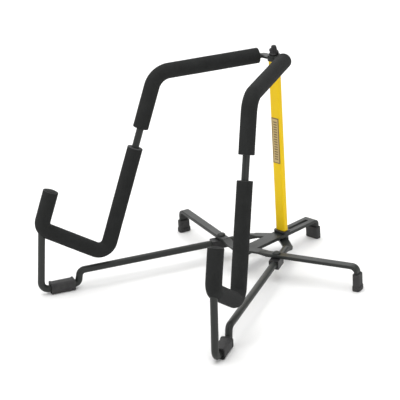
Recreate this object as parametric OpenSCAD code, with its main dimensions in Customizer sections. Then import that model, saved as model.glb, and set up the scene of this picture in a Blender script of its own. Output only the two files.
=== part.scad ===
// Folding floor stand for one stringed instrument.
// An upright post carries two mirror-image foam-covered cradle panels that swing about it,
// and a sliding spine bar carries the back foot and two side legs that fold with the panels.
// Front is -Y. The origin is on the floor, at the middle of the outer box.

/* [Opening] */
// Angle of each panel away from straight ahead, in degrees
open_angle = 25.3; // [20:0.1:28]

/* [Post] */
// Width of the post, left to right
post_w = 17; // [15:0.5:20]
// Depth of the post, front to back
post_d = 8; // [8:0.5:10]
// Height of the post's bottom end above the floor
post_low = 34.5; // [34:0.5:38]
// Height of the post's top end
post_high = 289; // [289:0.5:300]

/* [Panels] */
// Diameter of the steel tubes and rods
tube_d = 10; // [9:0.5:10.5]
// Outer diameter of the foam covers
foam_d = 22; // [18:0.5:24]
// Sideways offset of each panel from the post's axis
panel_offset = 18.5; // [18:0.5:22]
// Height of the arms
arm_z = 295; // [295:0.5:300]
// Reach of the arms from the post to their bend
arm_reach = 168; // [150:1:180]
// Reach of the cradle's lowest bend
cradle_reach = 259; // [250:1:265]
// Height of the cradle's lowest bend
cradle_z = 42.5; // [38:0.5:50]
// Reach of the hook's elbow
elbow_reach = 349.5; // [345:0.5:355]
// Height of the hook's elbow
elbow_z = 99.5; // [95:0.5:105]
// Reach of the hook's tip
tip_reach = 331; // [325:1:335]
// Height of the hook's tip
tip_z = 149.5; // [140:1:165]

/* [Base] */
// Height of the front legs' centre lines
leg_z = 25.5; // [25:0.5:27]
// Reach of the upright rods at their tops, under the elbows
rod_top_reach = 348.5; // [347:0.5:350]
// Reach of the upright rods at the floor
rod_reach = 357.3; // [354:0.1:360]
// Distance from the post forward to the side legs' shared pivot
apex_reach = 88; // [84:1:92]
// Half the distance between the side feet
side_foot_x = 169; // [155:1:175]
// Distance from the post forward to the side feet
side_foot_reach = 33; // [25:1:36]
// Distance from the post back to the back foot's middle
back_foot_reach = 68; // [62:1:75]

/* [Hidden] */
$fn = 48;

// Gaps: a running fit, a gap between stacked straps, and foam to tube
fit_gap = 0.05;
stack_gap = 0.3;
foam_gap = 0.2;

// Colours
yellow = [0.90, 0.76, 0.14];
foam_black = [0.13, 0.13, 0.14];
frame_grey = [0.26, 0.28, 0.27];
plastic_black = [0.10, 0.10, 0.11];
zinc = [0.66, 0.67, 0.68];
label_tan = [0.78, 0.69, 0.47];

// Hinge bolt, straps and stacking heights
bolt_r = 2.5;
strap_t = 3;
strap_w = 13;
eye_r = 9;
taper_step = 0.15;

// How much fuller the bends are than the straight lengths, and how far those run into them
joint_swell = 0.03;
joint_lap = 0.5;

// Post bore, and how far the plugs at its ends reach into it
bore_w = post_w - 2.4;
bore_d = post_d - 2;
plug_depth = 12;
cap_t = 3;

// Label on the post's front face
label_w = 13;
label_h = 68;
label_t = 0.5;
label_low = 138;

// Heights of the straps, spine and collar that stack on the hinge bolts
left_arm_strap_z = post_high + cap_t + stack_gap;
right_arm_strap_z = left_arm_strap_z + strap_t + stack_gap;
right_leg_strap_z = leg_z - 6;
left_leg_strap_z = right_leg_strap_z + strap_t + stack_gap;
spine_w = 20;
spine_t = 4.5;
spine_z = left_leg_strap_z + strap_t + stack_gap;
spine_top = spine_z + spine_t;
spine_bend = 8;
spine_slot_ahead = 1.5;
spine_slot_back = 52;
collar_z = spine_top + stack_gap;
left_side_strap_z = spine_top + stack_gap;
right_side_strap_z = left_side_strap_z + strap_t + stack_gap;

// Reach of each strap's corner, of its end, and of the round tube's start
arm_turn = 9;
arm_strap_end = 11.5;
arm_start = 17;
leg_turn = 32;
leg_strap_end = 36;
leg_start = 46;

// Panel outline: reach from the post and height, bend by bend
bend_arm = 28;
bend_cradle = 15;
bend_elbow = 15;
panel_path = [
    [arm_start, arm_z], [arm_reach, arm_z], [cradle_reach, cradle_z],
    [elbow_reach, elbow_z], [tip_reach, tip_z]
];
panel_bends = [0, bend_arm, bend_cradle, bend_elbow, 0];
foam_start = 17;
slant_dir = unit([cradle_reach - arm_reach, cradle_z - arm_z]);
slant_top = [arm_reach, arm_z];
foam_stop_left = slant_top + slant_dir * 80;
foam_stop_right = slant_top + slant_dir * 75;
foam_restart = slant_top + slant_dir * 109;
foam_end_gap = 2;
tip_dir = unit([tip_reach - elbow_reach, tip_z - elbow_z]);
foam_tip = [tip_reach, tip_z] + tip_dir * foam_end_gap;

// Front leg outline
floor_z = 7;
rod_top = [rod_top_reach, elbow_z - 3.5];
rod_low = [rod_reach, floor_z];
rod_bend = 11;
sleeve_in = 309;
sleeve_out = 344;
sleeve_w = 16.5;
sleeve_h = 15.5;
sleeve_round = 4;
step_reach = 299;
step_foot = 303;
leg_path = [
    rod_top, rod_low, [step_foot, floor_z],
    [step_reach, leg_z], [leg_start, leg_z]
];
leg_bends = [0, rod_bend, 7, 8, 0];

// Clip on each front leg, where its side leg crosses it
clip_l = 25;
clip_w = 14;
clip_ahead = 3;
clip_bottom = leg_z - 7;
clip_top = spine_top + 0.1;
clip_reach = clip_distance();
rivet_r = 3;
rivet_head_r = 6;

// Side legs
side_bar_w = 12.5;
side_bar_h = 5;
side_bar_round = 1.2;
side_lift = 0.3;
side_bar_z = left_side_strap_z + side_bar_h / 2 + side_lift;
side_flat_l = 32;
side_taper_l = 12;
side_run = [side_foot_x, apex_reach - side_foot_reach];
side_length = norm(side_run);
side_angle = atan2(side_run[1], side_run[0]);
side_bend = 9;
apex_pin_r = 2.5;
apex_clear = 3.7;
apex_eye_r = 10;
foot_floor = 5;

// Overall reach, which sets where the post stands in the frame
rod_down = unit(rod_low - rod_top);
rod_front = rod_reach - rod_down[0] * tangent_of(leg_path, leg_bends, 1) + rod_bend * (1 + rod_down[1]);
front_reach = cos(open_angle) * rod_front - sin(open_angle) * panel_offset + tube_d / 2;
back_foot_w = 23;
back_foot_d = 9.5;
back_foot_h = 18;
back_foot_wall = 2;
back_reach = back_foot_reach - spine_t - back_foot_wall + back_foot_d;
post_y = (front_reach - back_reach) / 2;

// Where the side leg's line crosses the front leg, measured along the panel from the post's axis
function clip_distance() =
    let (slope = (apex_reach - side_foot_reach) / side_foot_x, c = cos(open_angle), s = sin(open_angle))
    (apex_reach + panel_offset * s - slope * panel_offset * c) / (c + slope * s);
function unit(v) = v / norm(v);
function turn_of(a, b, c) = let (u = unit(b - a), v = unit(c - b)) atan2(u[0] * v[1] - u[1] * v[0], u * v);
function tangent_of(p, r, i) = r[i] <= 0 ? 0 : r[i] * tan(abs(turn_of(p[i - 1], p[i], p[i + 1])) / 2);

// Moves children onto the post's axis
module at_post() translate([0, post_y, 0]) children();

// Places a part drawn straight ahead of the post (X sideways, -Y forward) at a panel's open angle
module in_panel(side) at_post() mirror([side < 0 ? 1 : 0, 0, 0]) rotate([0, 0, open_angle]) children();

// One straight length in the reach-height plane
module straight(a, b, d) {
    v = b - a;
    translate([a[0], 0, a[1]]) rotate([0, 90 - atan2(v[1], v[0]), 0]) cylinder(h = norm(v), d = d);
}

// One round bend in the reach-height plane, a hair fuller than the lengths that run into it
module elbow(a, b, c, r, d) {
    turn = turn_of(a, b, c);
    u = unit(b - a);
    start = b - u * r * tan(abs(turn) / 2);
    side = turn > 0 ? 1 : -1;
    centre = start + side * r * [-u[1], u[0]];
    from = atan2(start[1] - centre[1], start[0] - centre[0]);
    translate([centre[0], 0, centre[1]]) rotate([90, 0, 0])
        rotate([0, 0, side > 0 ? from : from + turn])
            rotate_extrude(angle = abs(turn), $fn = 96) translate([r, 0]) circle(d = d + 2 * joint_swell);
}

// A solid bent bar along a path of corners with a bend radius at each
module bent_bar(path, bends, d) {
    last = len(path) - 2;
    for (i = [0 : last]) {
        u = unit(path[i + 1] - path[i]);
        head = i == 0 ? 0 : tangent_of(path, bends, i) - joint_lap;
        tail = i == last ? 0 : tangent_of(path, bends, i + 1) - joint_lap;
        straight(path[i] + u * head, path[i + 1] - u * tail, d);
        if (i < last)
            elbow(path[i], path[i + 1], path[i + 2], bends[i + 1], d);
    }
}

// A foam cover: the bent bar with a bore along its whole length
module foam_cover(path, bends) {
    n = len(path) - 1;
    first = path[0] - unit(path[1] - path[0]);
    end = path[n] + unit(path[n] - path[n - 1]);
    bore_path = [for (i = [0 : n]) i == 0 ? first : i == n ? end : path[i]];
    difference() {
        bent_bar(path, bends, foam_d);
        bent_bar(bore_path, bends, tube_d + 2 * foam_gap);
    }
}

// Turns the reach-height plane so that reach runs forward at the panel's offset
module panel_plane() translate([panel_offset, 0, 0]) rotate([0, 0, -90]) children();

// A flat bar end seen from above: width w from point a to point b, round at both
module bar_2d(a, b, w) {
    v = b - a;
    translate(a) circle(d = w);
    translate(b) circle(d = w);
    translate(a) rotate(atan2(v[1], v[0])) translate([0, -w / 2]) square([norm(v), w]);
}

// The flattened end of a tube: an eye on the post's axis and a strap out to the tube
module strap_end(z, turn_reach, end_reach) {
    corner = [panel_offset, -turn_reach];
    difference() {
        translate([0, 0, z]) linear_extrude(strap_t) {
            circle(r = eye_r);
            bar_2d([0, 0], corner, strap_w);
            translate([panel_offset - strap_w / 2, -end_reach]) square([strap_w, end_reach - turn_reach]);
        }
        translate([0, 0, z - 1]) cylinder(h = strap_t + 2, r = bolt_r + fit_gap);
    }
}

// The taper from the flat strap to the round tube, let a little way into both
module taper(z, flat_reach, round_reach, tube_z) {
    w = strap_w - 2 * taper_step;
    hull() {
        translate([panel_offset - w / 2, -flat_reach, z + taper_step])
            cube([w, 2, strap_t - 2 * taper_step]);
        translate([panel_offset, -round_reach, tube_z]) rotate([90, 0, 0])
            cylinder(h = 2, d = tube_d - 2 * taper_step);
    }
}

module arm_tube(side) {
    z = side < 0 ? left_arm_strap_z : right_arm_strap_z;
    color(frame_grey) in_panel(side) {
        panel_plane() bent_bar(panel_path, panel_bends, tube_d);
        strap_end(z, arm_turn, arm_strap_end);
        taper(z, arm_strap_end - joint_lap, arm_start, arm_z);
    }
}

module upper_foam(side) {
    path = [[foam_start, arm_z], [arm_reach, arm_z], side < 0 ? foam_stop_left : foam_stop_right];
    color(foam_black) in_panel(side) panel_plane()
        foam_cover(path, [0, bend_arm, 0]);
}

module lower_foam(side) {
    path = [foam_restart, [cradle_reach, cradle_z], [elbow_reach, elbow_z], foam_tip];
    color(foam_black) in_panel(side) panel_plane()
        foam_cover(path, [0, bend_cradle, bend_elbow, 0]);
}

module leg_rod(side) {
    z = side < 0 ? left_leg_strap_z : right_leg_strap_z;
    color(frame_grey) in_panel(side) {
        panel_plane() bent_bar(leg_path, leg_bends, tube_d);
        strap_end(z, leg_turn, leg_strap_end);
        taper(z, leg_strap_end - joint_lap, leg_start, leg_z);
    }
}

module front_foot(side) {
    length = sleeve_out - sleeve_in;
    color(plastic_black) in_panel(side) panel_plane() difference() {
        translate([sleeve_in, 0, sleeve_h / 2]) rotate([0, 90, 0]) linear_extrude(length)
            round_rect(sleeve_h, sleeve_w, sleeve_round);
        translate([sleeve_in - 1, 0, floor_z]) rotate([0, 90, 0])
            cylinder(h = length + 2, d = tube_d + 2 * fit_gap);
    }
}

module leg_clip(side) {
    color(plastic_black) in_panel(side) difference() {
        translate([panel_offset - clip_w / 2, -clip_reach - clip_ahead - clip_l / 2, clip_bottom])
            cube([clip_w, clip_l, clip_top - clip_bottom]);
        translate([panel_offset, -clip_reach - clip_l, leg_z]) rotate([-90, 0, 0])
            cylinder(h = 2 * clip_l, d = tube_d + 2 * fit_gap);
        translate([panel_offset, -clip_reach, leg_z]) cylinder(h = 20, r = rivet_r + fit_gap);
    }
}

module clip_rivet(side) {
    low = leg_z + tube_d / 2 + fit_gap;
    high = side_bar_z + side_bar_h / 2 + stack_gap;
    color(frame_grey) in_panel(side) translate([panel_offset, -clip_reach, 0]) {
        translate([0, 0, low]) cylinder(h = high - low, r = rivet_r);
        translate([0, 0, high]) cylinder(h = 1, r = rivet_head_r);
        translate([0, 0, high + 1]) intersection() {
            translate([0, 0, -6.5]) sphere(r = 8.85);
            cylinder(h = 4, r = rivet_head_r);
        }
    }
}

module post() {
    color(yellow) at_post() difference() {
        translate([0, 0, post_low]) linear_extrude(post_high - post_low) round_rect(post_w, post_d, 2);
        translate([0, 0, post_low - 1]) linear_extrude(post_high - post_low + 2)
            round_rect(bore_w, bore_d, 1);
    }
}

module round_rect(w, d, r) {
    square([w - 2 * r, d], center = true);
    square([w, d - 2 * r], center = true);
    for (x = [-1, 1], y = [-1, 1])
        translate([x * (w / 2 - r), y * (d / 2 - r)]) circle(r = r);
}

module post_top_plug() {
    color(plastic_black) at_post() difference() {
        union() {
            translate([0, 0, post_high]) linear_extrude(cap_t) round_rect(post_w + 2, post_d + 3, 3);
            translate([0, 0, post_high - plug_depth]) linear_extrude(plug_depth + joint_lap)
                round_rect(bore_w - 2 * fit_gap, bore_d - 2 * fit_gap, 1);
        }
        translate([0, 0, post_high - plug_depth - 1]) cylinder(h = 20, r = bolt_r);
    }
}

module base_collar() {
    color(plastic_black) at_post() difference() {
        union() {
            translate([0, 0, collar_z]) linear_extrude(post_low - collar_z) round_rect(22, 16, 5);
            translate([0, 0, post_low - joint_lap]) linear_extrude(plug_depth + joint_lap)
                round_rect(bore_w - 2 * fit_gap, bore_d - 2 * fit_gap, 1);
        }
        translate([0, 0, collar_z - 1]) cylinder(h = 40, r = bolt_r);
    }
}

module top_bolt() {
    color(zinc) at_post() translate([0, 0, post_high - 10]) cylinder(h = 26, r = bolt_r - 0.01);
}

module bottom_bolt() {
    washer_t = 1.3;
    head_t = 3;
    low = right_leg_strap_z - stack_gap - washer_t;
    color(zinc) at_post() {
        translate([0, 0, low - head_t]) cylinder(h = head_t, r = 5);
        translate([0, 0, low]) cylinder(h = washer_t, r = 7.5);
        translate([0, 0, low]) cylinder(h = post_low + 10 - low, r = bolt_r - 0.01);
    }
}

module post_label() {
    color(label_tan) at_post() translate([-label_w / 2, -post_d / 2 - label_t, label_low])
        cube([label_w, label_t, label_h]);
}

module spine_bar() {
    bend_y = back_foot_reach - spine_bend;
    color(frame_grey) at_post() difference() {
        union() {
            translate([0, 0, spine_z]) linear_extrude(spine_t) {
                translate([0, -apex_reach]) circle(d = spine_w);
                translate([-spine_w / 2, -apex_reach]) square([spine_w, apex_reach + bend_y]);
            }
            translate([-spine_w / 2, bend_y, spine_top - spine_bend]) rotate([90, 0, 90])
                flat_bend(spine_bend, spine_t, spine_w);
            translate([-spine_w / 2, back_foot_reach - spine_t, foot_floor + 1])
                cube([spine_w, spine_t, spine_top - spine_bend - foot_floor - 1]);
        }
        // Long slot that runs on the bottom bolt
        translate([0, 0, spine_z - 1]) linear_extrude(spine_t + 2)
            bar_2d([0, -spine_slot_ahead], [0, spine_slot_back], 2 * (bolt_r + 2 * fit_gap));
        translate([0, -apex_reach, spine_z - 1]) cylinder(h = spine_t + 2, r = apex_pin_r);
    }
}

// A quarter bend of flat bar of thickness t, outer radius r and width w
module flat_bend(r, t, w) {
    linear_extrude(w) intersection() {
        difference() {
            circle(r = r);
            circle(r = r - t);
        }
        square(r + 1);
    }
}

module back_foot() {
    middle = back_reach - back_foot_d / 2;
    color(plastic_black) at_post() difference() {
        translate([0, middle, 0]) linear_extrude(back_foot_h) round_rect(back_foot_w, back_foot_d, 3);
        translate([-spine_w / 2 - 2 * fit_gap, back_foot_reach - spine_t - 2 * fit_gap, foot_floor + 1])
            cube([spine_w + 4 * fit_gap, spine_t + 4 * fit_gap, back_foot_h]);
    }
}

module apex_pin() {
    high = right_side_strap_z + strap_t + stack_gap;
    color(frame_grey) at_post() translate([0, -apex_reach, 0]) {
        translate([0, 0, spine_z]) cylinder(h = high - spine_z, r = apex_pin_r - 0.01);
        translate([0, 0, high]) cylinder(h = 1.5, r = 9.5);
        translate([0, 0, high + 1.5]) cylinder(h = 2, r1 = 6, r2 = 4.5, $fn = 48);
    }
}

// Places a side leg drawn along +X from the apex pivot
module in_side_leg(side) at_post() mirror([side < 0 ? 1 : 0, 0, 0])
    translate([0, -apex_reach, 0]) rotate([0, 0, side_angle]) children();

// A length of the side bars' flat section, along +X, with its width along Y
module flat_bar(l, shrink) rotate([90, 0, 90]) linear_extrude(l)
    round_rect(side_bar_w - 2 * shrink, side_bar_h - 2 * shrink, side_bar_round);

module side_bar(side) {
    z = side < 0 ? left_side_strap_z : right_side_strap_z;
    rivet_at = norm([panel_offset * cos(open_angle) + clip_reach * sin(open_angle),
        apex_reach + panel_offset * sin(open_angle) - clip_reach * cos(open_angle)]);
    color(frame_grey) in_side_leg(side) difference() {
        union() {
            translate([0, 0, z]) linear_extrude(strap_t) {
                circle(r = apex_eye_r);
                translate([0, -strap_w / 2]) square([side_flat_l, strap_w]);
            }
            hull() {
                translate([side_flat_l - 2.5, -strap_w / 2 + taper_step, z + taper_step])
                    cube([2, strap_w - 2 * taper_step, strap_t - 2 * taper_step]);
                translate([side_flat_l + side_taper_l - 2, 0, side_bar_z])
                    flat_bar(2, taper_step);
            }
            translate([side_flat_l + side_taper_l - 2.5, 0, side_bar_z])
                flat_bar(side_length - side_bend - side_flat_l - side_taper_l + 2.5 + joint_lap / 2, 0);
            translate([side_length - side_bend, 0, side_bar_z - side_bend]) rotate([90, 0, 0])
                rotate_extrude(angle = 90, $fn = 96) translate([side_bend, 0])
                    round_rect(side_bar_h + 2 * joint_swell, side_bar_w + 2 * joint_swell, side_bar_round);
            translate([side_length, 0, foot_floor])
                linear_extrude(side_bar_z - side_bend - foot_floor + joint_lap / 2)
                    round_rect(side_bar_h, side_bar_w, side_bar_round);
        }
        translate([0, 0, z - 1]) cylinder(h = strap_t + 2, r = apex_pin_r + apex_clear);
        translate([rivet_at, 0, spine_z]) cylinder(h = 30, r = rivet_r + fit_gap);
    }
}

module side_foot(side) {
    high = side < 0 ? 18 : 24;
    color(plastic_black) in_side_leg(side) translate([side_length, 0, 0]) difference() {
        union() {
            linear_extrude(6) round_rect(11.5, 18.5, 4);
            translate([0, 0, 5.5]) linear_extrude(high - 5.5) round_rect(10.5, 17, 4);
        }
        translate([0, 0, foot_floor]) linear_extrude(high)
            round_rect(side_bar_h + 2 * fit_gap, side_bar_w + 2 * fit_gap, side_bar_round);
    }
}

module clamp_knob() {
    low = right_arm_strap_z + strap_t + stack_gap;
    color(plastic_black) at_post() difference() {
        union() {
            translate([0, 0, low]) cylinder(h = 2, r = 7);
            translate([0, 0, low + 2]) cylinder(h = 5, r1 = 6, r2 = 4.6, $fn = 48);
            translate([0, 0, low + 7]) cylinder(h = 6.5, r1 = 4.6, r2 = 2.2, $fn = 48);
            for (s = [-1, 1])
                translate([s * 5.5, 0, low + 3.5]) rotate([90, 0, 0])
                    translate([0, 0, -1.6]) cylinder(h = 3.2, r = 3.5);
        }
        translate([0, 0, low - 1]) cylinder(h = 10.5, r = bolt_r + fit_gap);
    }
}

post();
post_top_plug();
base_collar();
top_bolt();
bottom_bolt();
post_label();
arm_tube(-1);  // left_arm_tube
arm_tube(1);  // right_arm_tube
upper_foam(-1);  // left_upper_foam
upper_foam(1);  // right_upper_foam
lower_foam(-1);  // left_lower_foam
lower_foam(1);  // right_lower_foam
leg_rod(-1);  // left_leg_rod
leg_rod(1);  // right_leg_rod
front_foot(-1);  // left_front_foot
front_foot(1);  // right_front_foot
leg_clip(-1);  // left_leg_clip
leg_clip(1);  // right_leg_clip
spine_bar();
back_foot();
apex_pin();
side_bar(-1);  // left_side_bar
side_bar(1);  // right_side_bar
side_foot(-1);  // left_side_foot
side_foot(1);  // right_side_foot
clip_rivet(-1);  // left_clip_rivet
clip_rivet(1);  // right_clip_rivet
clamp_knob();
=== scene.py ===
"""Looks of the folding instrument stand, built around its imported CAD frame.

Lengths are in millimetres in each piece's own working frame, and become metres when the
piece is placed. Front is -Y. A panel is drawn straight ahead of the post and then opened.
"""

import math

import bmesh
import bpy
from mathutils import Matrix, Vector, noise


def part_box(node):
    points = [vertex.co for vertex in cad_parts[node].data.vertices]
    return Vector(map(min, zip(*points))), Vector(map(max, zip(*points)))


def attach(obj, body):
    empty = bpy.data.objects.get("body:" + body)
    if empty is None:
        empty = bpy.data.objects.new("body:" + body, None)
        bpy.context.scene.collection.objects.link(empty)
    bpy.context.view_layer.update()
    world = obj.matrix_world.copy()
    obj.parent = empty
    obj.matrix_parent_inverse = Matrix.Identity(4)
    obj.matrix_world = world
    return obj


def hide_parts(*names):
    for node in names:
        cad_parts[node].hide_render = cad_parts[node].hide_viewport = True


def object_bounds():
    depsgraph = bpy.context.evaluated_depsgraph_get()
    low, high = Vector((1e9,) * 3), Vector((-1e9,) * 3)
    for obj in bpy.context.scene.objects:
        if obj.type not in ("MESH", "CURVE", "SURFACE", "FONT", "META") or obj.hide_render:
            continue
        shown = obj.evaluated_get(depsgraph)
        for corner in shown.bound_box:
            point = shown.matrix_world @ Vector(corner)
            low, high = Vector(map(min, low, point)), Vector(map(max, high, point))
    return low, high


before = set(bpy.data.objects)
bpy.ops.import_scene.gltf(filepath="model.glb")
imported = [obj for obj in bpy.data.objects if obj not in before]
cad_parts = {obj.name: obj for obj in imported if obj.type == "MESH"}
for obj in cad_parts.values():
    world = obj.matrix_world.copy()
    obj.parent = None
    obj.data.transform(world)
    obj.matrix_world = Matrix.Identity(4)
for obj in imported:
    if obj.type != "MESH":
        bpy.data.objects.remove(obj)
cad_low, cad_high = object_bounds()

MM = 0.001

# Driving sizes, as in the CAD model: angles in degrees, and points as (reach from the post, height)
OPEN_ANGLE = 25.3
PANEL_OFFSET = 18.5
FOAM_D = 22
FOAM_BORE = 10.4
ARM_Z = 295
ARM_REACH = 168
CRADLE = (259, 42.5)
ELBOW = (349.5, 99.5)
TIP = (331, 149.5)
TIP_LAP = 2
BEND_ARM = 28
BEND_CRADLE = 15
BEND_ELBOW = 15
# Where each side's foam starts on the arm, stops down the slant and starts again; left is -1
FOAM_START = {-1: 17, 1: 14}
FOAM_STOP = {-1: 80, 1: 75}
FOAM_RESTART = 109
# Rubber sleeve on the floor: its reach from and to, and its width and height
SLEEVE_SPAN = (309, 344)
SLEEVE_SIZE = (16.5, 15.5)
SIDES = {-1: "left", 1: "right"}

post_low, post_high = (Vector(corner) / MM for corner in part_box("post"))
POST_Y = (post_low.y + post_high.y) / 2


# ---------------------------------------------------------------- materials

def shader(name, color, roughness, metallic=0.0):
    """A material whose flat values sit on the shader's own sockets."""
    material = bpy.data.materials.new(name)
    material.use_nodes = True
    nodes = material.node_tree.nodes
    bsdf = nodes["Principled BSDF"]
    bsdf.inputs["Base Color"].default_value = (*color, 1)
    bsdf.inputs["Roughness"].default_value = roughness
    bsdf.inputs["Metallic"].default_value = metallic
    return material, nodes, material.node_tree.links, bsdf


def object_coordinates(nodes, links, stretch=(1, 1, 1)):
    """Object coordinates, stretched per axis."""
    coordinates = nodes.new("ShaderNodeTexCoord")
    mapping = nodes.new("ShaderNodeMapping")
    mapping.inputs["Scale"].default_value = stretch
    links.new(coordinates.outputs["Object"], mapping.inputs["Vector"])
    return mapping.outputs["Vector"]


def noise_field(nodes, links, vector, scale, detail=3, rough=0.55):
    """A noise value, in cycles per metre."""
    field = nodes.new("ShaderNodeTexNoise")
    field.inputs["Scale"].default_value = scale
    field.inputs["Detail"].default_value = detail
    field.inputs["Roughness"].default_value = rough
    links.new(vector, field.inputs["Vector"])
    return field.outputs["Fac"]


def ramp(nodes, links, value, stops):
    """Colours or greys along a value, as (position, colour) stops."""
    node = nodes.new("ShaderNodeValToRGB")
    elements = node.color_ramp.elements
    while len(elements) < len(stops):
        elements.new(0.5)
    for element, (position, color) in zip(elements, stops):
        element.position = position
        element.color = (*color, 1)
    links.new(value, node.inputs["Fac"])
    return node.outputs["Color"]


def span(nodes, links, value, low, high, to_low, to_high):
    """Maps a value's range onto another."""
    node = nodes.new("ShaderNodeMapRange")
    for socket, number in (("From Min", low), ("From Max", high), ("To Min", to_low), ("To Max", to_high)):
        node.inputs[socket].default_value = number
    links.new(value, node.inputs["Value"])
    return node.outputs["Result"]


def mix(nodes, links, factor, a, b):
    """Blends two colours, each plain or linked, by a factor."""
    node = nodes.new("ShaderNodeMix")
    node.data_type = "RGBA"
    links.new(factor, node.inputs["Factor"])
    for socket, color in (("A", a), ("B", b)):
        target = next(s for s in node.inputs if s.name == socket and s.type == "RGBA")
        if isinstance(color, tuple):
            target.default_value = (*color, 1)
        else:
            links.new(color, target)
    return next(s for s in node.outputs if s.type == "RGBA")


def add_bumps(nodes, links, bsdf, heights):
    """Stacks bump layers, each (height, strength, distance in metres)."""
    last = None
    for height, strength, distance in heights:
        bump = nodes.new("ShaderNodeBump")
        bump.inputs["Strength"].default_value = strength
        bump.inputs["Distance"].default_value = distance
        links.new(height, bump.inputs["Height"])
        if last:
            links.new(last, bump.inputs["Normal"])
        last = bump.outputs["Normal"]
    links.new(last, bsdf.inputs["Normal"])


def foam_material():
    """Black closed-cell foam: fine skin cells with painted shade in their pits, soft mottling and a little
    dust.
    """
    material, nodes, links, bsdf = shader("closed cell foam", (0.011, 0.011, 0.011), 0.88)
    bsdf.inputs["Specular IOR Level"].default_value = 0.1
    bsdf.inputs["Sheen Weight"].default_value = 0.008
    bsdf.inputs["Sheen Roughness"].default_value = 0.6
    vector = object_coordinates(nodes, links)
    cells = nodes.new("ShaderNodeTexVoronoi")
    cells.inputs["Scale"].default_value = 1150
    links.new(vector, cells.inputs["Vector"])
    grain = noise_field(nodes, links, vector, 1400, 4)
    mottle = noise_field(nodes, links, vector, 60, 5, 0.6)
    dust = noise_field(nodes, links, vector, 16, 6, 0.7)
    base = ramp(nodes, links, mottle, [(0.3, (0.0165, 0.0172, 0.0170)), (0.7, (0.0240, 0.0250, 0.0246))])
    # Painted shade: the colour goes near black at the cell centres, the same spots that the bump below sinks
    # into pits.
    pit_painted_shade = span(nodes, links, cells.outputs["Distance"], 0.10, 0.42, 0.85, 0.0)
    dusty = span(nodes, links, dust, 0.52, 0.78, 0.0, 0.35)
    color = mix(nodes, links, pit_painted_shade, mix(nodes, links, dusty, base, (0.024, 0.024, 0.023)),
                (0.006, 0.006, 0.006))
    links.new(color, bsdf.inputs["Base Color"])
    links.new(span(nodes, links, mottle, 0.3, 0.7, 0.74, 0.9), bsdf.inputs["Roughness"])
    add_bumps(nodes, links, bsdf, [
        (cells.outputs["Distance"], 0.35, 0.0004),
        (grain, 0.3, 0.0003),
        (noise_field(nodes, links, vector, 150, 3), 0.25, 0.0006),
    ])
    return material


def cut_foam_material():
    """The open cells where a foam cover was cut: greyer and rougher than its skin, with painted shade in the
    cell hollows.
    """
    material, nodes, links, bsdf = shader("cut foam end", (0.05, 0.05, 0.052), 0.95)
    bsdf.inputs["Specular IOR Level"].default_value = 0.2
    vector = object_coordinates(nodes, links)
    cells = nodes.new("ShaderNodeTexVoronoi")
    cells.inputs["Scale"].default_value = 1300
    links.new(vector, cells.inputs["Vector"])
    # Grey open-cell tone, with painted shade: darker at the cell centres, where the bump below makes
    # hollows.
    color = ramp(nodes, links, cells.outputs["Distance"], [
        (0.1, (0.028, 0.028, 0.029)), (0.6, (0.085, 0.085, 0.087))])
    links.new(color, bsdf.inputs["Base Color"])
    add_bumps(nodes, links, bsdf, [(cells.outputs["Distance"], 0.8, 0.0006)])
    return material


def coat_material():
    """Dark grey powder coat with orange peel, thin spots and a few rubbed patches."""
    material, nodes, links, bsdf = shader("grey powder coat", (0.019, 0.021, 0.020), 0.42)
    bsdf.inputs["Specular IOR Level"].default_value = 0.3
    vector = object_coordinates(nodes, links)
    peel = noise_field(nodes, links, vector, 700, 2)
    patch = noise_field(nodes, links, vector, 26, 5, 0.6)
    rub = noise_field(nodes, links, vector, 95, 6, 0.7)
    base = ramp(nodes, links, patch, [(0.3, (0.016, 0.018, 0.017)), (0.7, (0.025, 0.027, 0.025))])
    rubbed = span(nodes, links, rub, 0.64, 0.76, 0.0, 0.45)
    links.new(mix(nodes, links, rubbed, base, (0.052, 0.056, 0.053)), bsdf.inputs["Base Color"])
    links.new(span(nodes, links, patch, 0.3, 0.7, 0.36, 0.5), bsdf.inputs["Roughness"])
    add_bumps(nodes, links, bsdf, [(peel, 0.22, 0.0003), (rub, 0.08, 0.0003)])
    return material


def yellow_material():
    """Satin yellow paint, slightly uneven, with darkened scuffs."""
    material, nodes, links, bsdf = shader("yellow paint", (0.84, 0.555, 0.004), 0.38)
    bsdf.inputs["Specular IOR Level"].default_value = 0.2
    vector = object_coordinates(nodes, links)
    peel = noise_field(nodes, links, vector, 520, 2)
    wash = noise_field(nodes, links, vector, 18, 4, 0.6)
    scuff = noise_field(nodes, links, object_coordinates(nodes, links, (4, 4, 0.6)), 120, 6, 0.75)
    base = ramp(nodes, links, wash, [(0.3, (0.83, 0.545, 0.003)), (0.7, (0.88, 0.600, 0.005))])
    scuffed = span(nodes, links, scuff, 0.66, 0.8, 0.0, 0.5)
    links.new(mix(nodes, links, scuffed, base, (0.66, 0.410, 0.006)), bsdf.inputs["Base Color"])
    links.new(span(nodes, links, wash, 0.3, 0.7, 0.32, 0.46), bsdf.inputs["Roughness"])
    add_bumps(nodes, links, bsdf, [(peel, 0.15, 0.0003)])
    return material


def rubber_material():
    """Moulded black rubber with a fine matt grain and scuffed, greyer patches."""
    material, nodes, links, bsdf = shader("moulded rubber", (0.024, 0.024, 0.025), 0.68)
    bsdf.inputs["Specular IOR Level"].default_value = 0.4
    vector = object_coordinates(nodes, links)
    grain = noise_field(nodes, links, vector, 900, 3)
    scuff = noise_field(nodes, links, vector, 70, 6, 0.7)
    base = ramp(nodes, links, scuff, [(0.4, (0.019, 0.019, 0.020)), (0.72, (0.052, 0.051, 0.050))])
    links.new(base, bsdf.inputs["Base Color"])
    links.new(span(nodes, links, scuff, 0.4, 0.7, 0.6, 0.85), bsdf.inputs["Roughness"])
    add_bumps(nodes, links, bsdf, [(grain, 0.3, 0.0003)])
    return material


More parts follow.
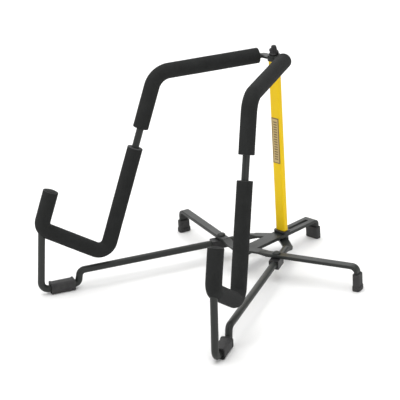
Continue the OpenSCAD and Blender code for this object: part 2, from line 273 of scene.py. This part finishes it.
def plastic_material():
    """Moulded black plastic with a spark-eroded texture."""
    material, nodes, links, bsdf = shader("moulded plastic", (0.012, 0.012, 0.013), 0.46)
    bsdf.inputs["Specular IOR Level"].default_value = 0.4
    vector = object_coordinates(nodes, links)
    grain = noise_field(nodes, links, vector, 1100, 2)
    patch = noise_field(nodes, links, vector, 40, 4)
    links.new(ramp(nodes, links, patch, [(0.3, (0.009, 0.009, 0.010)), (0.7, (0.016, 0.016, 0.017))]),
              bsdf.inputs["Base Color"])
    links.new(span(nodes, links, patch, 0.3, 0.7, 0.4, 0.56), bsdf.inputs["Roughness"])
    add_bumps(nodes, links, bsdf, [(grain, 0.25, 0.0002)])
    return material


def zinc_material():
    """Zinc-plated steel with turning marks and dull spots."""
    material, nodes, links, bsdf = shader("zinc plated steel", (0.34, 0.34, 0.35), 0.34, 1.0)
    vector = object_coordinates(nodes, links)
    turned = noise_field(nodes, links, object_coordinates(nodes, links, (1, 1, 12)), 420, 3)
    spots = noise_field(nodes, links, vector, 160, 5, 0.65)
    links.new(ramp(nodes, links, spots, [(0.35, (0.27, 0.27, 0.28)), (0.7, (0.42, 0.42, 0.43))]),
              bsdf.inputs["Base Color"])
    links.new(span(nodes, links, spots, 0.35, 0.7, 0.28, 0.46), bsdf.inputs["Roughness"])
    add_bumps(nodes, links, bsdf, [(turned, 0.15, 0.0002)])
    return material


def label_material(name, light, dark):
    """Printed sticker stock: an even tint with paper mottling."""
    material, nodes, links, bsdf = shader(name, light, 0.5)
    bsdf.inputs["Specular IOR Level"].default_value = 0.25
    vector = object_coordinates(nodes, links)
    mottle = noise_field(nodes, links, vector, 240, 5, 0.6)
    links.new(ramp(nodes, links, mottle, [(0.3, dark), (0.7, light)]), bsdf.inputs["Base Color"])
    add_bumps(nodes, links, bsdf, [(mottle, 0.08, 0.0002)])
    return material


FOAM = foam_material()
FOAM_CUT = cut_foam_material()
COAT = coat_material()
YELLOW = yellow_material()
RUBBER = rubber_material()
PLASTIC = plastic_material()
ZINC = zinc_material()
LABEL_FACE = label_material("label face", (0.57, 0.43, 0.19), (0.52, 0.385, 0.165))
LABEL_EDGE = label_material("label border", (0.20, 0.14, 0.060), (0.17, 0.115, 0.050))


# ---------------------------------------------------------------- mesh tools

def at_post():
    """The working frame centred on the post."""
    return Matrix.Translation((0, POST_Y, 0))


def in_panel(side):
    """A panel's working frame: drawn straight ahead of the post, opened and mirrored to its side."""
    mirror = Matrix.Scale(side, 4, (1, 0, 0))
    return at_post() @ mirror @ Matrix.Rotation(math.radians(OPEN_ANGLE), 4, "Z")


def ring(bm, centre, direction, radius, sides):
    """An open ring of edges across a direction."""
    turn = Vector(direction).to_track_quat("Z", "X").to_matrix().to_4x4()
    made = bmesh.ops.create_circle(
        bm, segments=sides, radius=radius, matrix=Matrix.Translation(centre) @ turn)
    return ring_edges(made["verts"])


def ring_edges(verts):
    """The edges whose two ends are both among the vertices."""
    inside = set(verts)
    return [e for e in {e for v in verts for e in v.link_edges} if set(e.verts) <= inside]


def edge_verts(edges):
    return list({v for e in edges for v in e.verts})


def pull(bm, edges, vector):
    """Carries a ring one step along a vector and returns the new ring."""
    made = bmesh.ops.extrude_edge_only(bm, edges=edges)["geom"]
    verts = [g for g in made if isinstance(g, bmesh.types.BMVert)]
    bmesh.ops.translate(bm, verts=verts, vec=vector)
    return ring_edges(verts)


def sweep(bm, corners, bends, diameter, sides=40, step=200, bend_step=7.5):
    """Carries a ring along corners, with a round bend at each, and returns its first and last rings."""
    corners = [Vector(c) for c in corners]
    heading = (corners[1] - corners[0]).normalized()
    edges = first = ring(bm, corners[0], heading, diameter / 2, sides)
    here = corners[0]
    for i in range(1, len(corners)):
        heading = (corners[i] - corners[i - 1]).normalized()
        stop = corners[i]
        if i < len(corners) - 1:
            onward = (corners[i + 1] - corners[i]).normalized()
            turn = heading.angle(onward)
            stop = corners[i] - heading * bends[i] * math.tan(turn / 2)
        length = (stop - here).length
        count = max(1, round(length / step))
        for _ in range(count):
            edges = pull(bm, edges, heading * length / count)
        here = stop
        if i < len(corners) - 1:
            axis = heading.cross(onward).normalized()
            middle = here + axis.cross(heading) * bends[i]
            made = bmesh.ops.spin(
                bm, geom=edges + edge_verts(edges), cent=middle, axis=axis, angle=turn,
                steps=max(2, round(math.degrees(turn) / bend_step)), use_duplicate=False)
            edges = [g for g in made["geom_last"] if isinstance(g, bmesh.types.BMEdge)]
            here = corners[i] + onward * bends[i] * math.tan(turn / 2)
    return first, edges


def lathe(bm, profile, steps=64):
    """Turns a radius-height profile about the vertical axis, closed at its poles."""
    verts = [bm.verts.new((radius, 0, height)) for radius, height in profile]
    edges = [bm.edges.new(pair) for pair in zip(verts, verts[1:])]
    bmesh.ops.spin(bm, geom=verts + edges, cent=(0, 0, 0), axis=(0, 0, 1), angle=2 * math.pi,
                   steps=steps, use_merge=True, use_duplicate=False)
    bmesh.ops.remove_doubles(bm, verts=bm.verts, dist=0.001)


def finish_piece(bm, name, body, slot, materials, nodes, place, bevel=0.0, sharp=35.0, segments=2):
    """Places a working mesh, gives it its looks, ties it to its body and hides the CAD nodes it stands for.
    """
    bmesh.ops.transform(bm, matrix=Matrix.Scale(MM, 4) @ place, verts=bm.verts)
    bmesh.ops.recalc_face_normals(bm, faces=bm.faces)
    mesh = bpy.data.meshes.new(name)
    bm.to_mesh(mesh)
    bm.free()
    for material in materials:
        mesh.materials.append(material)
    mesh.shade_smooth()
    mesh.set_sharp_from_angle(angle=math.radians(sharp))
    piece = bpy.data.objects.new(name, mesh)
    bpy.context.scene.collection.objects.link(piece)
    if bevel:
        edge = piece.modifiers.new("softened edges", "BEVEL")
        edge.width = bevel * MM
        edge.segments = segments
        edge.limit_method = "ANGLE"
        edge.angle_limit = math.radians(sharp)
        edge.harden_normals = True
        # The short facets of the boots' rounded corners would hold their broad softening to nothing
        edge.use_clamp_overlap = slot != "black_rubber"
    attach(piece, body)
    if nodes:
        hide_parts(*nodes)
    return piece


def from_cad(name, node, body, slot, material, bevel, segments):
    """A CAD node's shape, merged into whole faces and given softened edges."""
    weld, flat, sliver, sharp = 0.015, math.radians(1), 0.02, 30
    bm = bmesh.new()
    bm.from_mesh(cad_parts[node].data)
    bmesh.ops.scale(bm, vec=(1 / MM,) * 3, verts=bm.verts)
    bmesh.ops.remove_doubles(bm, verts=bm.verts, dist=weld)
    bmesh.ops.dissolve_limit(bm, angle_limit=flat, verts=bm.verts, edges=bm.edges)
    bmesh.ops.dissolve_degenerate(bm, dist=sliver, edges=bm.edges)
    return finish_piece(bm, name, body, slot, [material], [node], Matrix.Identity(4), bevel, sharp, segments)


def reach_point(reach, z):
    """A point of the reach-height plane in the panel's working frame."""
    return Vector((PANEL_OFFSET, -reach, z))


# ---------------------------------------------------------------- foam covers

def slant_point(distance):
    """A point down the slanting length, measured from the arm's corner."""
    top = Vector((ARM_REACH, ARM_Z))
    return top + (Vector(CRADLE) - top).normalized() * distance


def foam_cover(name, node, side, outline, bends):
    """A foam tube: slightly uneven skin, cut ends, and a soft pinch inside each bend."""
    bm = bmesh.new()
    corners = [reach_point(*p) for p in outline]
    sweep(bm, corners, bends, FOAM_D, sides=56, step=2.5, bend_step=3.5)
    bmesh.ops.recalc_face_normals(bm, faces=bm.faces)
    settle_foam(bm, corners, bends)
    piece = finish_piece(
        bm, name, SIDES[side] + "_panel", "black_foam", [FOAM, FOAM_CUT], [node], in_panel(side), sharp=60)
    wall = piece.modifiers.new("foam wall", "SOLIDIFY")
    wall.thickness = (FOAM_D - FOAM_BORE) / 2 * MM
    wall.offset = -1
    wall.use_rim = True
    wall.material_offset_rim = 1
    edge = piece.modifiers.new("cut edge", "BEVEL")
    edge.width = 0.7 * MM
    edge.segments = 3
    edge.limit_method = "ANGLE"
    edge.angle_limit = math.radians(55)
    return piece


def settle_foam(bm, corners, bends):
    """Moves the skin slightly in: low waves everywhere, and creases inside the bends."""
    wave, wave_scale, wave_start = 0.22, 0.045, Vector((7, 3, 1))
    crease_depth, crease_pitch = 0.35, 4.2
    for v in bm.verts:
        inward = -v.normal
        depth = wave * (0.5 + 0.5 * noise.noise(v.co * wave_scale + wave_start))
        for i in range(1, len(corners) - 1):
            back = (corners[i - 1] - corners[i]).normalized()
            onward = (corners[i + 1] - corners[i]).normalized()
            inside = (back + onward).normalized()
            near = (v.co - corners[i]).length
            reach = bends[i] * 1.3 + FOAM_D / 2
            if near > reach:
                continue
            facing = max(0.0, v.normal.dot(inside)) ** 2
            along = (v.co - corners[i]).dot((onward - back).normalized())
            fade = 1 - (near / reach) ** 2
            crease = 0.5 + 0.5 * math.cos(along * 2 * math.pi / crease_pitch)
            depth += crease_depth * facing * fade * crease
        v.co += inward * depth


def foam_covers():
    """Two covers a side: one round the arm's corner, and one along the cradle and its hook."""
    tip_along = (Vector(TIP) - Vector(ELBOW)).normalized()
    tip = Vector(TIP) + tip_along * TIP_LAP
    for side, word in SIDES.items():
        foam_cover(f"{word}_arm_foam", f"{word}_upper_foam", side,
                   [(FOAM_START[side], ARM_Z), (ARM_REACH, ARM_Z), slant_point(FOAM_STOP[side])],
                   [0, BEND_ARM, 0])
        foam_cover(f"{word}_cradle_foam", f"{word}_lower_foam", side,
                   [slant_point(FOAM_RESTART), CRADLE, ELBOW, tip],
                   [0, BEND_CRADLE, BEND_ELBOW, 0])


def foam_tip(side):
    """The closed, slightly domed end of a cradle's foam."""
    along = (Vector(TIP) - Vector(ELBOW)).normalized()
    end = reach_point(*(Vector(TIP) + along * TIP_LAP))
    turn = Vector((0, -along.x, along.y)).to_track_quat("Z", "X").to_matrix().to_4x4()
    bm = bmesh.new()
    lathe(bm, [(0, -1.8), (5.1, -1.8), (5.1, -0.3), (9.8, -0.3), (9.8, -0.1), (9.4, 0.3), (8.4, 0.65),
               (6.4, 0.95), (3.4, 1.15), (0, 1.2)], steps=56)
    bmesh.ops.transform(bm, matrix=Matrix.Translation(end) @ turn, verts=bm.verts)
    piece = finish_piece(bm, f"{SIDES[side]}_foam_tip", SIDES[side] + "_panel", "black_foam", [FOAM], [],
                         in_panel(side), sharp=60)


foam_covers()
for panel_side in SIDES:
    foam_tip(panel_side)


# ---------------------------------------------------------------- metal, plastic and rubber

def hardware():
    """The CAD model's hardware, merged into whole faces, with softened edges."""
    for name, node, body, slot, material, bevel, segments in HARDWARE:
        from_cad(name, node, body, slot, material, bevel, segments)
    for word in SIDES.values():
        for part, node, body, slot, material, bevel, segments in SIDED_HARDWARE:
            from_cad(f"{word}_{part}", f"{word}_{node}", f"{word}_{body}", slot, material, bevel, segments)


def block(bm, size, centre):
    """A plain block."""
    made = bmesh.ops.create_cube(bm, size=1)["verts"]
    bmesh.ops.scale(bm, vec=size, verts=made)
    bmesh.ops.translate(bm, vec=centre, verts=made)
    return made


def round_along(bm, verts, axis, radius, segments):
    """Rounds a block's four edges that run along one axis."""
    edges = {e for v in verts for e in v.link_edges}
    chosen = [e for e in edges if abs((e.verts[0].co - e.verts[1].co).normalized()[axis]) > 0.99]
    return bmesh.ops.bevel(bm, geom=chosen, offset=radius, segments=segments, profile=0.5,
                           affect="EDGES", material=-1)


def clamp_knob():
    """Turned cone with a round top on a flange, and two small thumb lobes."""
    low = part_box("clamp_knob")[0].z / MM
    bm = bmesh.new()
    lathe(bm, [(0, 0), (6.6, 0), (7, 0.4), (7, 1.7), (6.6, 2.1), (5.9, 2.4), (5.4, 4), (4.6, 7.2),
               (3.7, 11.2), (3.2, 12.5), (2.3, 13.2), (1.2, 13.45), (0, 13.5)])
    for way in (-1, 1):
        lobe = bmesh.ops.create_uvsphere(bm, u_segments=32, v_segments=20, radius=3.4)["verts"]
        bmesh.ops.scale(bm, vec=(1.15, 0.55, 1), verts=lobe)
        bmesh.ops.translate(bm, vec=(way * 4.9, 0, 4.6), verts=lobe)
    bmesh.ops.translate(bm, vec=(0, 0, low), verts=bm.verts)
    finish_piece(bm, "thumb_knob", "knob", "black_plastic", [PLASTIC], ["clamp_knob"], at_post(), sharp=40)


def floor_sleeve(side):
    """Rubber sleeve round the front leg's floor length, with a thicker band at each end."""
    start, stop = SLEEVE_SPAN
    width, height = SLEEVE_SIZE
    band, proud = 3, 0.6
    bm = bmesh.new()
    body = block(bm, (width, stop - start, height), (PANEL_OFFSET, -(start + stop) / 2, height / 2))
    round_along(bm, body, 1, 4, 6)
    for reach in (start + band / 2, stop - band / 2):
        ring_block = block(bm, (width + 2 * proud, band, height + proud),
                           (PANEL_OFFSET, -reach, (height + proud) / 2))
        round_along(bm, ring_block, 1, 4, 6)
    word = SIDES[side]
    finish_piece(bm, f"{word}_floor_sleeve", f"{word}_panel", "black_rubber", [RUBBER],
                 [f"{word}_front_foot"], in_panel(side), bevel=0.7, segments=3)


def post_label():
    """A sticker with a darker border and a plain ladder of bars, with no lettering."""
    low, high = (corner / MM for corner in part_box("post_label"))
    face_y = low.y - POST_Y
    back_y = high.y - POST_Y
    middle_z = (low.z + high.z) / 2
    width, height = high.x - low.x, high.z - low.z
    border, bar, pitch, proud = 1.5, (6.4, 1.9), 3.7, 0.06
    bm = bmesh.new()
    block(bm, (width, back_y - face_y, height), (0, (face_y + back_y) / 2, middle_z))
    for face in bm.faces:
        face.material_index = 1
    front = [f for f in bm.faces if f.calc_center_median().y < face_y + 0.01]
    bmesh.ops.inset_region(bm, faces=front, thickness=border, use_even_offset=True)
    front[0].material_index = 0
    count = int((height - 4 * border) / pitch)
    for i in range(count):
        z = middle_z + (i - (count - 1) / 2) * pitch
        rung = block(bm, (bar[0], proud, bar[1]), (0, face_y - proud / 2, z))
        for face in {f for v in rung for f in v.link_faces}:
            face.material_index = 1
    finish_piece(bm, "post_sticker", "frame", "label", [LABEL_FACE, LABEL_EDGE], ["post_label"], at_post())


# Piece, CAD node, body, slot, material, edge softening, its steps
HARDWARE = [
    ("yellow_post", "post", "frame", "yellow_paint", YELLOW, 0.25, 2),
    ("post_cap", "post_top_plug", "frame", "black_plastic", PLASTIC, 0.6, 3),
    ("post_base", "base_collar", "frame", "black_plastic", PLASTIC, 0.7, 3),
    ("hinge_stud", "top_bolt", "frame", "zinc_steel", ZINC, 0.3, 2),
    ("hinge_bolt", "bottom_bolt", "frame", "zinc_steel", ZINC, 0.3, 2),
    ("slotted_spine", "spine_bar", "spine", "grey_coat", COAT, 0.5, 3),
    ("back_boot", "back_foot", "spine", "black_rubber", RUBBER, 0.8, 4),
    ("apex_stud", "apex_pin", "spine", "grey_coat", COAT, 0.35, 3),
]
SIDED_HARDWARE = [
    ("arm", "arm_tube", "panel", "grey_coat", COAT, 0.5, 3),
    ("front_leg", "leg_rod", "panel", "grey_coat", COAT, 0.5, 3),
    ("leg_saddle", "leg_clip", "panel", "black_plastic", PLASTIC, 0.8, 3),
    ("saddle_rivet", "clip_rivet", "panel", "grey_coat", COAT, 0.2, 2),
    ("side_leg_bar", "side_bar", "side_leg", "grey_coat", COAT, 0.5, 3),
    ("side_boot", "side_foot", "side_leg", "black_rubber", RUBBER, 0.8, 4),
]

hardware()
clamp_knob()
post_label()
for panel_side in SIDES:
    floor_sleeve(panel_side)


# ---------------------------------------------------------------- stage, light and camera

def stage():
    """A wide, plain pale floor, a hair below the feet."""
    half_width, gap = 150, 0.0004
    bm = bmesh.new()
    bmesh.ops.create_grid(bm, x_segments=1, y_segments=1, size=half_width)
    mesh = bpy.data.meshes.new("floor")
    bm.to_mesh(mesh)
    bm.free()
    material, nodes, links, bsdf = shader("pale floor", (0.86, 0.86, 0.855), 0.6)
    vector = object_coordinates(nodes, links)
    links.new(span(nodes, links, noise_field(nodes, links, vector, 3), 0.3, 0.7, 0.55, 0.68),
              bsdf.inputs["Roughness"])
    mesh.materials.append(material)
    floor = bpy.data.objects.new("floor", mesh)
    floor.location.z = cad_low.z - gap
    bpy.context.scene.collection.objects.link(floor)


def area_light(name, place, size, power):
    """A soft rectangular light aimed at the stand's middle."""
    light = bpy.data.lights.new(name, "AREA")
    light.shape = "RECTANGLE"
    light.size, light.size_y = size
    light.energy = power
    lamp = bpy.data.objects.new(name, light)
    lamp.location = place
    lamp.rotation_euler = (Vector((0, 0, 0.15)) - Vector(place)).to_track_quat("-Z", "Y").to_euler()
    lamp.visible_camera = False
    bpy.context.scene.collection.objects.link(lamp)


def sky_light(strength, width):
    """An even, soft light from straight above, as wide as its angle in degrees."""
    light = bpy.data.lights.new("overhead light", "SUN")
    light.energy = strength
    light.angle = math.radians(width)
    bpy.context.scene.collection.objects.link(bpy.data.objects.new("overhead light", light))


def lights():
    """An overhead light, a key from the left front, a fill, and a broad card behind the stand."""
    sky_light(2.45, 65)
    area_light("left key", (-1.1, -1.6, 1.3), (1.2, 1.2), 14)
    area_light("right fill", (2.1, -0.7, 0.9), (1.4, 1.4), 10)
    area_light("back card", (-3.0, 2.9, 1.7), (5.5, 3.0), 76)
    world = bpy.data.worlds.new("studio")
    world.use_nodes = True
    background = world.node_tree.nodes["Background"]
    background.inputs["Color"].default_value = (1, 1, 1, 1)
    background.inputs["Strength"].default_value = 0.42
    bpy.context.scene.world = world


def camera():
    """A three-quarter view from the front right, above and slightly rolled."""
    azimuth, elevation, roll = math.radians(45.9), math.radians(22.3), math.radians(-3.6)
    distance, lens = 2.716, 171.0
    target_side, target_z = -0.1153, 0.0801
    back = Vector((math.sin(azimuth) * math.cos(elevation),
                   -math.cos(azimuth) * math.cos(elevation), math.sin(elevation)))
    data = bpy.data.cameras.new("camera")
    data.lens = lens
    data.sensor_width = 36
    data.clip_start, data.clip_end = 0.05, 500
    eye = bpy.data.objects.new("camera", data)
    right = Vector((math.cos(azimuth), math.sin(azimuth), 0))
    up = back.cross(right)
    rolled_right = right * math.cos(roll) + up * math.sin(roll)
    target = Vector((0, POST_Y * MM, target_z)) + rolled_right * target_side
    turn = (-back).to_track_quat("-Z", "Y") @ Matrix.Rotation(roll, 4, "Z").to_quaternion()
    eye.location = target + back * distance
    eye.rotation_mode = "QUATERNION"
    eye.rotation_quaternion = turn
    bpy.context.scene.collection.objects.link(eye)
    bpy.context.scene.camera = eye


stage()
lights()
camera()
bpy.context.scene.view_settings.view_transform = "Standard"
